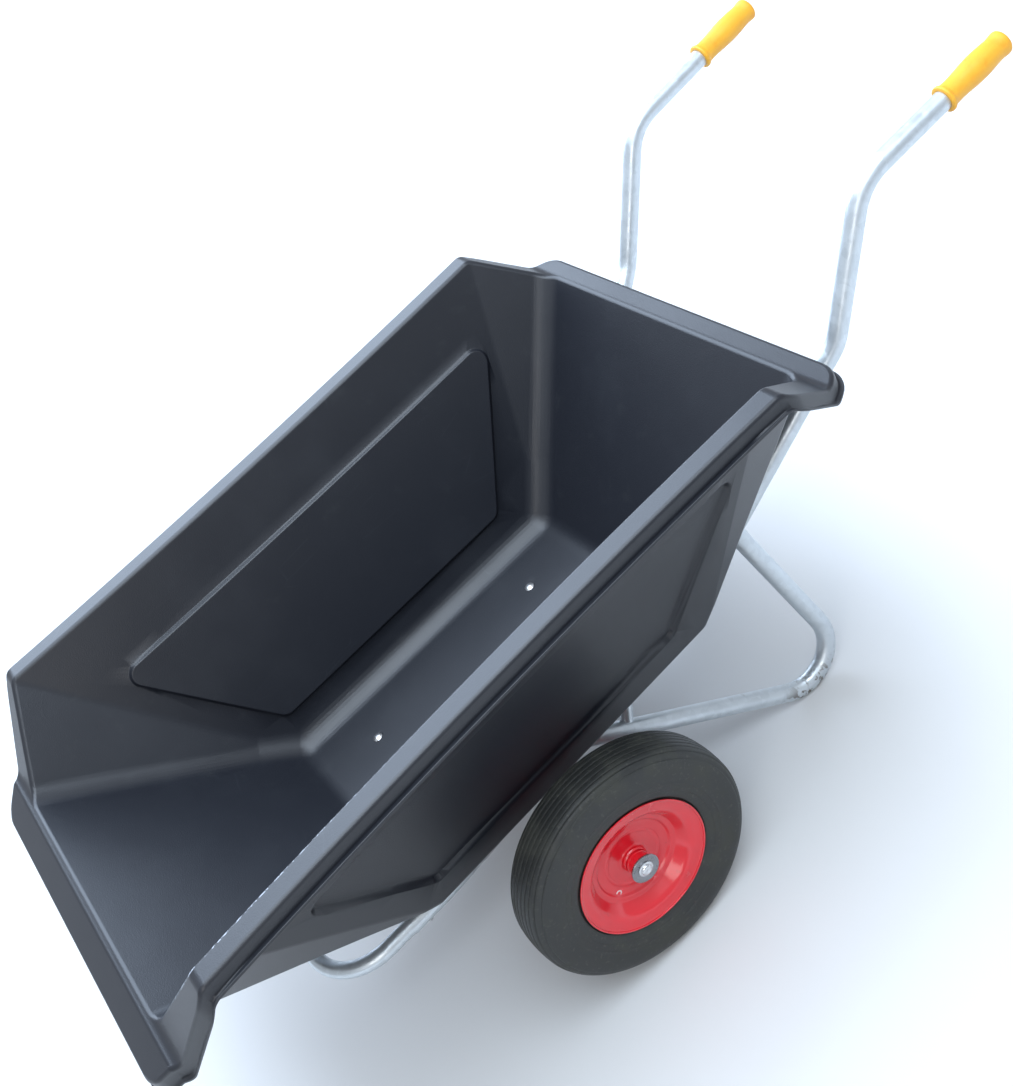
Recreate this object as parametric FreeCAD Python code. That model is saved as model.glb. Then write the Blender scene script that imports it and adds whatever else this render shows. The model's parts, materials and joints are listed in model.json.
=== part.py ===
# Two-wheeled barrow: a deep moulded tub on a bent tube frame, with a fixed axle and two free wheels.
# Millimetres. X runs across the barrow (+X is the user's left hand), +Y towards the handles, +Z up.
# The ground is z = 0. The parts are drawn with y = 0 at the axle and moved at the end, so that the
# origin lies on the ground under the middle of the whole barrow.
import FreeCAD, Part
import math
import os
from FreeCAD import Vector as V

# ---- tub, inside surfaces ----
floor_front_y = -258.0       # fold between floor and front ramp
floor_rear_y = 348.0         # fold between floor and back wall
floor_front_half = 250.0     # half width of the floor at the front fold
floor_rear_half = 240.0      # half width of the floor at the rear fold
rim_up = 417.0               # top of the side rims above the floor
side_front_y = -517.0        # where the side rim starts to drop to the nose
side_front_half = 416.0      # half width between the side rims there
side_rear_y = 555.0          # where the side rim starts to drop to the back
nose_y = -625.0              # inner edge of the nose
nose_up = 289.0              # its height above the floor
nose_half = 302.0
back_y = 646.0               # inner edge of the back rim
back_up = 318.0
back_half = 334.0
wall = 6.0                   # wall thickness of the moulding
fold_radius = 50.0           # inside radius of every fold
outer_radius = 26.0          # outside radius, where the moulding is thicker

# ---- tub rim ----
nose_flat = 15.0             # level strip along the nose before it turns down
nose_slope = 31.0            # degrees, fall of the pouring lip
rim_width = 40.0             # level width of the back and side rims
lip_width = 44.0             # level width of the pouring lip
nose_ear = 54.0              # how far the rim's corner stands outside the nose's inner corner
back_ear = 38.0              # the same at the back
rim_corner = 50.0            # outline radius at the four ears
front_lead = 13.0            # how far past the rim's bend the outline turns in, front and rear
rear_lead = 17.0
rim_skirt = 30.0             # height of the turned down edge
skirt_wall = 5.0
bead_out = 7.0               # bead along the foot of the skirt
bead_thick = 5.0
rim_bend = 22.0              # radius where the rim changes slope
rim_round = 7.0              # rounding between the rim and its skirt
rim_inner_round = 9.0        # rounding between the rim and the inside of the tub
bead_round = 1.5

# ---- pressed panel in each side wall ----
panel_depth = 9.0
panel_draft = 7.0
panel_corner = 28.0
panel_round = 3.0            # rounding along the panel's raised edge
panel_top_up = 310.0         # panel's top and foot above the floor
panel_low_up = 59.0
panel_front_low_gap = 95.0   # level, from the ramp's fold line to the panel's front corners
panel_front_top_gap = 246.0
panel_rear_low_gap = 113.0   # level, from the back wall's fold line to its rear corners
panel_rear_top_gap = 139.0

# ---- frame tubes ----
tube_d = 32.0
tube_wall = 2.0
tube_bend = 85.0             # centre line radius of the handle bends
base_half = 212.0            # half distance between the long tubes at their open front ends
base_rear_half = 166.0       # the same where they bend up behind the floor
base_kink_y = -235.0         # from here back the long tubes draw together
base_rear_gap = 2.0          # from the floor's rear fold to that bend
bar_thick = 6.0              # flat cross bars between the tub and the long tubes
bar_width = 45.0
crank_y = 760.0              # lower handle bend
crank_up = 286.0             # its height above the long tubes
crank_half = 270.0
shoulder_y = 903.0           # upper handle bend
shoulder_up = 483.0
shoulder_half = 279.0
handle_end_y = 1208.0
handle_end_up = 494.0
handle_end_half = 289.0
base_front_y = -317.0        # open front end of the long tubes

loop_gap = 0.1               # radial clearance of the front tipping loop inside the long tubes
loop_wall = 2.0
loop_reach = 145.0           # from the long tubes' ends to the loop's cross run
loop_bend = 100.0
loop_insert = 60.0

leg_bend = 75.0
leg_top_y = 486.0            # where the leg leaves the handle tube
foot_half = 272.0
foot_y = 537.0               # where the leg's two runs would meet
leg_join_y = 75.0            # where the leg meets the long tube

strut_d = 22.0
strut_top_y = 196.0
strut_low_y = 150.0

# ---- wheels and axle ----
wheel_r = 200.0
tyre_half = 43.0
wheel_x = 380.0              # wheel centre plane
seat_r = 102.0               # bead seat radius of the rim
flange_r = 117.0
flange_half = 36.0
rim_sheet = 2.5
tyre_wall = 13.0
web_half = 6.0               # distance of each rim half's web from the centre plane
cone_r = 78.0                # foot of the conical drop
axle_r = 10.0
axle_clear = 32.0            # from the axle up to the long tubes
run_gap = 0.1                # radial running clearance of the wheel bearings
hub_r = 19.0
hub_half = 39.0
bearing_length = 16.0
bearing_r = 16.0
side_gap = 0.5               # axial play at each end of the hub
washer_r = 25.0
washer_thick = 3.0
cap_height = 6.0
cap_wall = 3.0               # round the axle's end
collar_wall = 7.0
collar_long = 7.0
bracket_half_y = 26.0
bracket_thick = 30.0
plug_r = 6.0
plug_at_r = 64.0             # its distance from the axle, and its angle from straight down
plug_angle = 55.0
plug_cap = 2.5

# ---- fasteners ----
bolt_r = 4.0
hole_gap = 0.5               # radial clearance of bolt holes
head_r = 9.0
head_high = 5.0
seat_gap = 1.5               # shallow seat moulded in the floor round each head
seat_deep = 1.0
nut_across = 13.0
nut_high = 6.5
bolt_past = 3.0              # bolt end past its nut
bolt_half = 131.0
bolt_front_y = -148.0
bolt_rear_y = 229.0
tub_washer_r = 12.0
tub_washer_thick = 1.6
loop_bolt_r = 3.0
loop_head_high = 3.5
loop_nut_across = 10.0
loop_nut_high = 5.0
loop_bolt_past = 2.0

# ---- grips ----
grip_length = 132.0
grip_wall = 2.6              # thinnest wall round the tube
grip_cap = 5.0               # closed end

tube_r = tube_d / 2
loop_d = tube_d - 2 * tube_wall - 2 * loop_gap
axle_z = wheel_r
base_z = axle_z + axle_r + axle_clear + tube_r
floor_z = base_z + tube_r + bar_thick + wall      # inside of the floor
rim_z = floor_z + rim_up
nose_z = floor_z + nose_up
back_z = floor_z + back_up
panel_top_z = floor_z + panel_top_up
panel_low_z = floor_z + panel_low_up
crank_z = base_z + crank_up
shoulder_z = base_z + shoulder_up
handle_end_z = base_z + handle_end_up
far = 4000.0
nodes = {}


def mirrored(shape):
    return shape.mirror(V(0, 0, 0), V(1, 0, 0))


def pair(name, shape):
    """A left piece and its mirror image."""
    nodes["left_" + name] = shape
    nodes["right_" + name] = mirrored(shape)


def ring(r_out, r_in, length, at, axis):
    return Part.makeCylinder(r_out, length, at, axis).cut(Part.makeCylinder(r_in, length, at, axis))


# ---------------------------------------------------------------- tub
def plane(a, b, c):
    """Point and outward normal of the wall through three points; outwards is away from the tub's middle."""
    n = (b - a).cross(c - a)
    n.normalize()
    middle = V(0, (floor_front_y + floor_rear_y) / 2, rim_z)
    return a, (n if n.dot(a - middle) > 0 else n * -1)


def tub_walls():
    """The left half's walls with the floor and both ends, as planes."""
    ff = V(floor_front_half, floor_front_y, floor_z)
    fr = V(floor_rear_half, floor_rear_y, floor_z)
    nose = V(nose_half, nose_y, nose_z)
    back = V(back_half, back_y, back_z)
    front = V(side_front_half, side_front_y, rim_z)
    rear = V(side_half_at(side_rear_y, rim_z), side_rear_y, rim_z)
    across = V(1, 0, 0)
    return {"floor": (ff, V(0, 0, -1)),
            "ramp": plane(ff, nose, ff + across),
            "back": plane(fr, back, fr + across),
            "side": plane(ff, fr, front),
            "front_corner": plane(ff, nose, front),
            "rear_corner": plane(fr, back, rear)}


def side_half_at(y, z):
    """Half width between the insides of the side walls at a station and height."""
    taper = (floor_rear_half - floor_front_half) / (floor_rear_y - floor_front_y)
    base = floor_front_half + taper * (y - floor_front_y)
    front_base = floor_front_half + taper * (side_front_y - floor_front_y)
    return base + (side_front_half - front_base) * (z - floor_z) / (rim_z - floor_z)


def hull(grow, radius):
    """The tub's filled shape, its inside surface moved out by grow, with every fold rounded to a radius."""
    inset = radius - grow
    top = rim_z + 2 * radius
    core = Part.makeBox(far, far, top - floor_z, V(-far / 2, -far / 2, floor_z))
    for at, n in tub_walls().values():
        for side in (1, -1):
            p = V(side * at.x, at.y, at.z)
            out = V(side * n.x, n.y, n.z)
            core = core.cut(Part.makeCylinder(far, far, p - out * inset, out))
    return core.makeOffsetShape(radius, 0.01, join=0)


def bent_line(points, radius):
    """Edges through the points, with the inner corners rounded."""
    edges = []
    start = points[0]
    for before, corner, after in zip(points, points[1:], points[2:]):
        u = (before - corner).normalize()
        w = (after - corner).normalize()
        half = u.getAngle(w) / 2
        reach = radius / math.tan(half)
        mid = (u + w).normalize()
        a = corner + u * reach
        b = corner + w * reach
        top = corner + mid * (radius / math.sin(half) - radius)
        edges.append(Part.makeLine(start, a))
        edges.append(Part.Arc(a, top, b).toShape())
        start = b
    edges.append(Part.makeLine(start, points[-1]))
    return edges


def closed_line(points, radii):
    """Closed wire through the points with every corner rounded by its own radius."""
    count = len(points)
    ends = []
    for i, corner in enumerate(points):
        u = (points[i - 1] - corner).normalize()
        w = (points[(i + 1) % count] - corner).normalize()
        half = u.getAngle(w) / 2
        reach = radii[i] / math.tan(half)
        top = corner + (u + w).normalize() * (radii[i] / math.sin(half) - radii[i])
        ends.append((corner + u * reach, top, corner + w * reach))
    edges = []
    for i, (a, top, b) in enumerate(ends):
        edges.append(Part.Arc(a, top, b).toShape())
        edges.append(Part.makeLine(b, ends[(i + 1) % count][0]))
    return Part.Wire(edges)


def rim_band(drop, depth):
    """The rim's side view, lowered by drop, as a slab of the given depth right across the tub."""
    fall = math.tan(math.radians(nose_slope))
    level_y = nose_y - nose_flat
    tip_y = level_y - lip_width - 3 * bead_out
    line = [(tip_y, nose_z - fall * (level_y - tip_y)), (level_y, nose_z), (nose_y, nose_z),
            (side_front_y, rim_z), (side_rear_y, rim_z), (back_y, back_z),
            (back_y + rim_width + 3 * bead_out, back_z)]
    line = [V(-far / 8, y, z - drop) for y, z in line]
    upper = [Part.makeLine(line[0], line[1])] + bent_line(line[1:], rim_bend_at(line[1:]))
    upper[0] = Part.makeLine(line[0], upper[1].Vertexes[0].Point)
    lower = [e.translated(V(0, 0, -depth)) for e in upper]
    first = Part.makeLine(upper[0].Vertexes[0].Point, lower[0].Vertexes[0].Point)
    last = Part.makeLine(upper[-1].Vertexes[-1].Point, lower[-1].Vertexes[-1].Point)
    wire = Part.Wire(Part.__sortEdges__(upper + lower + [first, last]))
    return Part.Face(wire).extrude(V(far / 4, 0, 0))


def rim_bend_at(line):
    """The bend radius, kept within the short level strip along the nose."""
    turn = (line[1] - line[0]).getAngle(line[2] - line[1])
    used = 0.8               # share of the strip that one bend may take
    return min(rim_bend, used * nose_flat / math.tan(turn / 2))


def rim_outline(grow):
    """Plan of the rim's outer edge, grown by a distance, as a tall solid."""
    rear_half = side_half_at(side_rear_y, rim_z)
    left = [(nose_half + nose_ear, nose_y - nose_flat - lip_width),
            (side_front_half + rim_width, side_front_y - front_lead),
            (rear_half + rim_width, side_rear_y + rear_lead),
            (back_half + back_ear, back_y + rim_width)]
    points = [V(x, y, 0) for x, y in left] + [V(-x, y, 0) for x, y in reversed(left)]
    wire = closed_line(points, [rim_corner] * len(points))
    if grow:
        wire = wire.makeOffset2D(grow)
    return Part.Face(wire).extrude(V(0, 0, far / 4))


def panel_wire(shrink, depth):
    """Outline of the side wall's panel: shrink inwards, depth from the wall's inside into the tub."""
    at, out = tub_walls()["side"]
    ramp = (nose_y - floor_front_y) / (nose_z - floor_z)
    slope = (back_y - floor_rear_y) / (back_z - floor_z)
    points = []
    for z, fold_y, lean, gap in ((panel_low_z, floor_front_y, ramp, panel_front_low_gap),
                                 (panel_top_z, floor_front_y, ramp, panel_front_top_gap),
                                 (panel_top_z, floor_rear_y, slope, -panel_rear_top_gap),
                                 (panel_low_z, floor_rear_y, slope, -panel_rear_low_gap)):
        y = fold_y + lean * (z - floor_z) + gap
        points.append(V(side_half_at(y, z), y, z) - out * depth)
    wire = closed_line(points, [panel_corner] * 4)
    return wire.makeOffset2D(-shrink) if shrink else wire


def panel_solid(shrink, start):
    wires = [panel_wire(shrink, start), panel_wire(shrink + panel_draft, start + panel_depth + 1)]
    return Part.makeLoft(wires, True, True)


def make_tub():
    inside = hull(0, fold_radius)
    outside = hull(wall, outer_radius)
    for turn in (lambda s: s, mirrored):
        inside = inside.cut(turn(panel_solid(0, -1)))
        outside = outside.cut(turn(panel_solid(wall, -wall - 1)))
    skirt = rim_band(0, rim_skirt).common(rim_outline(0).cut(rim_outline(-skirt_wall)))
    edge = rim_outline(bead_out).cut(rim_outline(-skirt_wall))
    bead = rim_band(rim_skirt - bead_thick, bead_thick).common(edge)
    top = rim_band(0, wall).common(rim_outline(0))
    below = rim_band(0, far / 4)
    shell = outside.common(below)
    tub = shell.fuse([top, skirt, bead]).cut(inside)
    for x in (bolt_half, -bolt_half):
        for y in (bolt_front_y, bolt_rear_y):
            tub = tub.cut(Part.makeCylinder(bolt_r + hole_gap, 4 * wall, V(x, y, floor_z - 2 * wall)))
            tub = tub.cut(Part.makeCylinder(head_r + seat_gap, 2 * wall, V(x, y, floor_z - seat_deep)))
    return soften(tub.removeSplitter(), inside)


def touching(shape, *faces):
    """Edges of the shape that lie on every one of the given surfaces."""
    found = []
    for edge in shape.Edges:
        a, b = edge.ParameterRange
        spots = [Part.Vertex(edge.valueAt(a + (b - a) * s)) for s in (0.2, 0.5, 0.8)]
        if all(v.distToShape(f)[0] < 0.02 for v in spots for f in faces):
            found.append(edge)
    return found


def upright(solid):
    """The solid's faces other than its level ones."""
    return Part.makeCompound([f for f in solid.Faces if abs(f.normalAt(0.5, 0.5).z) < 0.97])


def soften(tub, inside):
    """Moulded roundings along the rim, its bead and the panels."""
    top = Part.makeCompound([f for f in rim_band(0, far / 4).Faces if f.normalAt(0.5, 0.5).z > 0.3])
    tub = tub.makeFillet(rim_round, touching(tub, top, upright(rim_outline(0))))
    tub = tub.makeFillet(rim_inner_round, touching(tub, top, upright(inside)))
    bead = Part.makeCompound(rim_band(rim_skirt - bead_thick, bead_thick).Faces)
    tub = tub.makeFillet(bead_round, touching(tub, bead, upright(rim_outline(bead_out))))
    raised = panel_wire(panel_draft, panel_depth)
    edges = touching(tub, raised) + touching(tub, mirrored(raised))
    return tub.makeFillet(panel_round, edges)


# ---------------------------------------------------------------- tubes
def tube(points, bends, d, thick, close=False):
    """A round tube along straight runs and tangent arcs."""
    edges = []
    start = points[0]
    for i in range(1, len(points) - 1):
        piece = bent_line([start, points[i], points[i + 1]], bends[i - 1])
        edges += piece[:2]
        start = piece[1].Vertexes[-1].Point
    edges.append(Part.makeLine(start, points[-1]))
    path = Part.Wire(edges)
    along = (points[1] - points[0]).normalize()
    solids = []
    for r in (d / 2, d / 2 - thick):
        rim = Part.Wire([Part.makeCircle(r, points[0], along)])
        solids.append(path.makePipeShell([rim], True, False))
    return solids[0] if close else solids[0].cut(solids[1])


def handle_points():
    return [V(base_half, base_front_y, base_z), V(base_half, base_kink_y, base_z),
            V(base_rear_half, floor_rear_y + base_rear_gap, base_z),
            V(crank_half, crank_y, crank_z), V(shoulder_half, shoulder_y, shoulder_z),
            V(handle_end_half, handle_end_y, handle_end_z)]


def on_base(y):
    """Point of the long tube under the tub at a station."""
    a, b = handle_points()[1:3]
    return a + (b - a) * ((y - a.y) / (b.y - a.y))


def on_handle(y):
    """Point of the rising handle run at a station."""
    a, b = handle_points()[2:4]
    return a + (b - a) * ((y - a.y) / (b.y - a.y))


def leg_points():
    """The leg runs down from the handle, round the foot and up to the long tube."""
    top = on_handle(leg_top_y)
    join = on_base(leg_join_y)
    low = V(foot_half, foot_y, 0)
    for step in range(20):
        half = (top - low).getAngle(join - low) / 2
        mid = ((top - low).normalize() + (join - low).normalize()).normalize()
        centre = low + mid * (leg_bend / math.sin(half))
        low = V(low.x, low.y, low.z + (leg_bend + tube_r - centre.z))
    return [top, low, join]


def solid_of(points, bends, d):
    return tube(points, bends, d, 1.0, close=True)


def make_frame():
    handle = tube(handle_points(), [tube_bend] * 4, tube_d, tube_wall)
    handle_full = solid_of(handle_points(), [tube_bend] * 4, tube_d)
    leg = tube(leg_points(), [leg_bend], tube_d, tube_wall).cut(handle_full)
    leg = max(leg.Solids, key=lambda s: s.Volume)
    leg_full = solid_of(leg_points(), [leg_bend], tube_d)
    top, low, join = leg_points()
    foot = low + (join - low) * ((strut_low_y - low.y) / (join.y - low.y))
    head = on_base(strut_top_y)
    strut = Part.makeCylinder(strut_d / 2, head.distanceToPoint(foot), foot, head - foot)
    strut = max(strut.cut(handle_full.fuse(leg_full)).Solids, key=lambda s: s.Volume)
    lock = loop_lock(loop_bolt_r + hole_gap)
    pair("side_tube", handle.cut(lock))
    pair("leg", leg)
    pair("strut", strut)

    loop_y = base_front_y - loop_reach
    ends = [V(base_half, base_front_y + loop_insert, base_z), V(base_half, loop_y, base_z),
            V(-base_half, loop_y, base_z), V(-base_half, base_front_y + loop_insert, base_z)]
    loop = tube(ends, [loop_bend] * 2, loop_d, loop_wall)
    nodes["front_loop"] = loop.cut(lock.fuse(mirrored(lock)))

    for name, y in (("front_crossbar", bolt_front_y), ("rear_crossbar", bolt_rear_y)):
        half = on_base(y).x + tube_r / 2
        bar = Part.makeBox(2 * half, bar_width, bar_thick, V(-half, y - bar_width / 2, base_z + tube_r))
        for x in (bolt_half, -bolt_half):
            bar = bar.cut(Part.makeCylinder(bolt_r + hole_gap, far / 4, V(x, y, 0)))
        nodes[name] = bar
    return handle_full


def loop_lock(r):
    """Upright hole or bolt shank through the long tube and the loop's end."""
    return Part.makeCylinder(r, 2 * tube_d, V(base_half, base_front_y + loop_insert / 2, base_z - tube_d))


# ---------------------------------------------------------------- fasteners
def hexagon(across, height, at):
    corner = across / math.sqrt(3)
    points = [at + V(corner * math.cos(a), corner * math.sin(a), 0)
              for a in (math.radians(60 * i) for i in range(7))]
    return Part.Face(Part.makePolygon(points)).extrude(V(0, 0, height))


def make_fasteners():
    bolts, washers, nuts = [], [], []
    under = base_z + tube_r
    seat_z = floor_z - seat_deep
    dome_r = 1.6 * head_r
    for x in (bolt_half, -bolt_half):
        for y in (bolt_front_y, bolt_rear_y):
            head = Part.makeSphere(dome_r, V(x, y, seat_z + head_high - dome_r))
            head = head.common(Part.makeCylinder(head_r, head_high, V(x, y, seat_z)))
            low = under - tub_washer_thick - nut_high - bolt_past
            bolts.append(head.fuse(Part.makeCylinder(bolt_r, seat_z - low, V(x, y, low))).removeSplitter())
            washers.append(ring(tub_washer_r, bolt_r + hole_gap, tub_washer_thick,
                                V(x, y, under - tub_washer_thick), V(0, 0, 1)))
            nut = hexagon(nut_across, nut_high, V(x, y, under - tub_washer_thick - nut_high))
            nuts.append(nut.cut(Part.makeCylinder(bolt_r, far / 4, V(x, y, 0))))
    nodes["tub_bolts"] = Part.makeCompound(bolts)
    nodes["tub_washers"] = Part.makeCompound(washers)
    nodes["tub_nuts"] = Part.makeCompound(nuts)

    y = base_front_y + loop_insert / 2
    bolts, nuts = [], []
    for x in (base_half, -base_half):
        low = base_z - tube_r
        past = loop_nut_high + loop_bolt_past
        shank = Part.makeCylinder(loop_bolt_r, tube_d + past, V(x, y, low - past))
        head = Part.makeCylinder(2 * loop_bolt_r, loop_head_high, V(x, y, low + tube_d))
        bolts.append(shank.fuse(head).removeSplitter())
        nut = hexagon(loop_nut_across, loop_nut_high, V(x, y, low - loop_nut_high))
        nuts.append(nut.cut(Part.makeCylinder(loop_bolt_r, far / 4, V(x, y, 0))))
    nodes["loop_bolts"] = Part.makeCompound(bolts)
    nodes["loop_nuts"] = Part.makeCompound(nuts)


# ---------------------------------------------------------------- wheels
def turned(profile):
    """Solid turned about the axle from (distance out from the wheel's centre plane, radius) points."""
    points = [V(wheel_x + x, 0, axle_z + r) for x, r in profile]
    face = Part.Face(Part.makePolygon(points + points[:1]))
    return face.revolve(V(0, 0, axle_z), V(1, 0, 0), 360)


def rim_half(side):
    """One pressed half of the wheel: web, cone, bead seat and rolled flange."""
    t = rim_sheet
    centre = web_half - t
    outer = [(centre, hub_r), (web_half, hub_r), (web_half, cone_r), (flange_half - 8, seat_r - 6),
             (flange_half - 3, seat_r - 2), (flange_half, seat_r + 4), (flange_half, flange_r - t),
             (flange_half + 3, flange_r), (flange_half + 3 - t, flange_r + t / 2),
             (flange_half - t, flange_r - t / 2),
             (flange_half - t, seat_r + 4), (flange_half - 6, seat_r), (0, seat_r), (0, seat_r - t),
             (flange_half - 10, seat_r - t), (flange_half - 12, seat_r - 6), (centre, cone_r + 2)]
    return turned([(side * x, r) for x, r in outer])


def tyre_profile(inset):
    """Half the tyre's section, from the tread's middle to the bead, moved inwards by inset."""
    crown = wheel_r - inset
    shoulder = tyre_half - inset
    foot = flange_r + 9 + inset * 0.2
    return [(0, crown), (shoulder * 0.62, crown - 2.5), (shoulder * 0.86, crown - 11),
            (shoulder, crown - 34), (shoulder, crown - 52), (shoulder * 0.93, foot)]


def make_wheel():
    half = tyre_profile(0)
    bead = [(flange_half - rim_sheet, flange_r + 2), (flange_half - rim_sheet, seat_r + 5),
            (flange_half - 7, seat_r)]
    out = half + bead
    tyre = turned(out + [(-x, r) for x, r in reversed(out[1:])])
    room = [p for p in tyre_profile(tyre_wall)[:-1]] + [(tyre_half - tyre_wall - 4, flange_r + 4)]
    room += [(flange_half - rim_sheet - 9, seat_r)]
    core = turned(room + [(-x, r) for x, r in reversed(room[1:])])
    pair("tyre", tyre.cut(core))
    pair("tyre_core", core)

    axis = V(1, 0, 0)
    hub_start = V(wheel_x - hub_half, 0, axle_z)
    hub = ring(hub_r, bearing_r, 2 * hub_half, hub_start, axis)
    shoulder = ring(bearing_r, axle_r + cap_wall, 2 * (hub_half - bearing_length),
                    V(wheel_x - hub_half + bearing_length, 0, axle_z), axis)
    pair("hub", hub.fuse(shoulder).removeSplitter())
    inner_x = wheel_x - hub_half
    outer_x = wheel_x + hub_half - bearing_length
    for name, x in (("inner_bearing", inner_x), ("outer_bearing", outer_x)):
        pair(name, ring(bearing_r, axle_r + run_gap, bearing_length, V(x, 0, axle_z), axis))

    turn = math.radians(plug_angle)
    plug_at = V(wheel_x + web_half - rim_sheet, -plug_at_r * math.sin(turn),
                axle_z - plug_at_r * math.cos(turn))
    hole = Part.makeCylinder(plug_r - 2, rim_sheet, plug_at, axis)
    pair("rim_outer", rim_half(1).cut(hole))
    pair("rim_inner", rim_half(-1))
    stem = Part.makeCylinder(plug_r - 2, rim_sheet, plug_at, axis)
    cap = Part.makeCylinder(plug_r, plug_cap, plug_at + axis * rim_sheet, axis)
    pair("rim_plug", stem.fuse(cap).removeSplitter())


def make_axle(handle_full):
    axis = V(1, 0, 0)
    hub_out = wheel_x + hub_half + side_gap
    hub_in = wheel_x - hub_half - side_gap
    end = hub_out + washer_thick + cap_height / 2
    nodes["axle"] = Part.makeCylinder(axle_r, 2 * end, V(-end, 0, axle_z), axis)
    pair("end_washer", ring(washer_r, axle_r, washer_thick, V(hub_out, 0, axle_z), axis))
    cap = Part.makeCylinder(axle_r + cap_wall, cap_height, V(hub_out + washer_thick, 0, axle_z), axis)
    pair("axle_cap", cap.cut(nodes["axle"]))
    collar_at = V(hub_in - collar_long, 0, axle_z)
    pair("axle_collar", ring(axle_r + collar_wall, axle_r, collar_long, collar_at, axis))

    bracket_x = on_base(0).x - bracket_thick / 2
    plate = Part.makeCylinder(bracket_half_y, bracket_thick, V(bracket_x, 0, axle_z), axis)
    web = Part.makeBox(bracket_thick, 2 * bracket_half_y, base_z - axle_z,
                       V(bracket_x, -bracket_half_y, axle_z))
    lug = plate.fuse(web).removeSplitter().cut(handle_full)
    lug = max(lug.Solids, key=lambda s: s.Volume)
    pair("axle_bracket", lug.cut(nodes["axle"]))


# ---------------------------------------------------------------- grips
def make_grip():
    """Moulded grip with a flange, a waist, a belly and a round end, over the tube's end."""
    shoulder, end = handle_points()[4:6]
    along = (end - shoulder).normalize()
    length = grip_length
    thin = tube_r + grip_wall
    stations = [(0.0, thin + 3.5), (0.04, thin + 3.8), (0.09, thin + 1.2), (0.2, thin),
                (0.34, thin + 1.4), (0.55, thin + 3.0), (0.72, thin + 1.6), (0.84, thin + 0.6),
                (0.92, thin + 2.0), (0.97, thin + 1.2)]       # share of the length, radius
    points = [V(length * s, r, 0) for s, r in stations]
    curve = Part.BSplineCurve()
    curve.interpolate(points)
    close = Part.Arc(points[-1], V(length * 0.995, thin - 2.5, 0), V(length, thin - 7, 0)).toShape()
    edges = [curve.toShape(), close, Part.makeLine(V(length, thin - 7, 0), V(length, 0, 0)),
             Part.makeLine(V(length, 0, 0), V(0, 0, 0)), Part.makeLine(V(0, 0, 0), points[0])]
    body = Part.Face(Part.Wire(edges)).revolve(V(0, 0, 0), V(1, 0, 0), 360)
    body = body.cut(Part.makeCylinder(tube_r, length - grip_cap, V(0, 0, 0), V(1, 0, 0)))
    start = end - along * (length - grip_cap)
    body.Placement = FreeCAD.Placement(start, FreeCAD.Rotation(V(1, 0, 0), along))
    pair("grip", body)


def main():
    nodes["tub"] = make_tub()
    handle_full = make_frame()
    make_fasteners()
    make_wheel()
    make_axle(handle_full)
    make_grip()
    boxes = [shape.optimalBoundingBox(True, False) for shape in nodes.values()]
    middle = (min(b.YMin for b in boxes) + max(b.YMax for b in boxes)) / 2
    os.makedirs("parts", exist_ok=True)
    for name, shape in nodes.items():
        shape.translated(V(0, -middle, 0)).exportStep("parts/" + name + ".step")
        print(name, len(shape.Solids), round(shape.Volume / 1000, 1), shape.isValid())
    print("middle", round(middle, 3), "lowest", round(min(b.ZMin for b in boxes), 3))


main()
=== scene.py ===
import json
import math
import bpy
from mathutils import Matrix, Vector

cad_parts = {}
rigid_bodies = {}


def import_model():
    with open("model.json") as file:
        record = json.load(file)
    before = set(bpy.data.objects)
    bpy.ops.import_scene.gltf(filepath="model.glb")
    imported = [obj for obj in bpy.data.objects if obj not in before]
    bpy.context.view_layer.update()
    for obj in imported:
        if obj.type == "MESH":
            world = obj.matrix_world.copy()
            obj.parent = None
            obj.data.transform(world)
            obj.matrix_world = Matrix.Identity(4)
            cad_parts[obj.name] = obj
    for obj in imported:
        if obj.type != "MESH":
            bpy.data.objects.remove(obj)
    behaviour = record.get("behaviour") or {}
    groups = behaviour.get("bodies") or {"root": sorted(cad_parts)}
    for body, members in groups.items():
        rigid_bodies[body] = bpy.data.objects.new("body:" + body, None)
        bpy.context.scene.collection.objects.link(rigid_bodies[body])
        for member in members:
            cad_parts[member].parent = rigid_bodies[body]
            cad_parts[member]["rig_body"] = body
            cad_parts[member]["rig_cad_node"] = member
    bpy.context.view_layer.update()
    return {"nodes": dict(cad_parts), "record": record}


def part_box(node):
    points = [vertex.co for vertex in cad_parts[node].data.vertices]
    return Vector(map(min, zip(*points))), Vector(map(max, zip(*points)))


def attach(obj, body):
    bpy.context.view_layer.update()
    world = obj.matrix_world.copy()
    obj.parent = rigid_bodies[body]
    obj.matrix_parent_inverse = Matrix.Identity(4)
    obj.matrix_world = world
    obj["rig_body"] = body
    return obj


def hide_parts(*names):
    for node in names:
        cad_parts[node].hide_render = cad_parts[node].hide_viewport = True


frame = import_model()        # bodies, nodes, joints, record
print("frame loaded:", len(frame["nodes"]), "nodes")


# ---- small helpers ----
def deselectAll():
    if bpy.context.mode != "OBJECT":
        bpy.ops.object.mode_set(mode="OBJECT")
    bpy.ops.object.select_all(action="DESELECT")


def pick(obj):
    deselectAll()
    obj.select_set(True)
    bpy.context.view_layer.objects.active = obj


def editAll(obj):
    pick(obj)
    bpy.ops.object.mode_set(mode="EDIT")
    bpy.ops.mesh.select_all(action="SELECT")


def settle(obj):
    # puts the place, turn and size of an object into its mesh
    pick(obj)
    bpy.ops.object.transform_apply(location=True, rotation=True, scale=True)


def useModifier(obj, kind, **settings):
    pick(obj)
    mod = obj.modifiers.new(kind.title(), kind)
    for key, value in settings.items():
        setattr(mod, key, value)
    bpy.ops.object.modifier_apply(modifier=mod.name)


def smoothShade(obj, degrees):
    pick(obj)
    bpy.ops.object.shade_smooth_by_angle(angle=math.radians(degrees))


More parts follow.
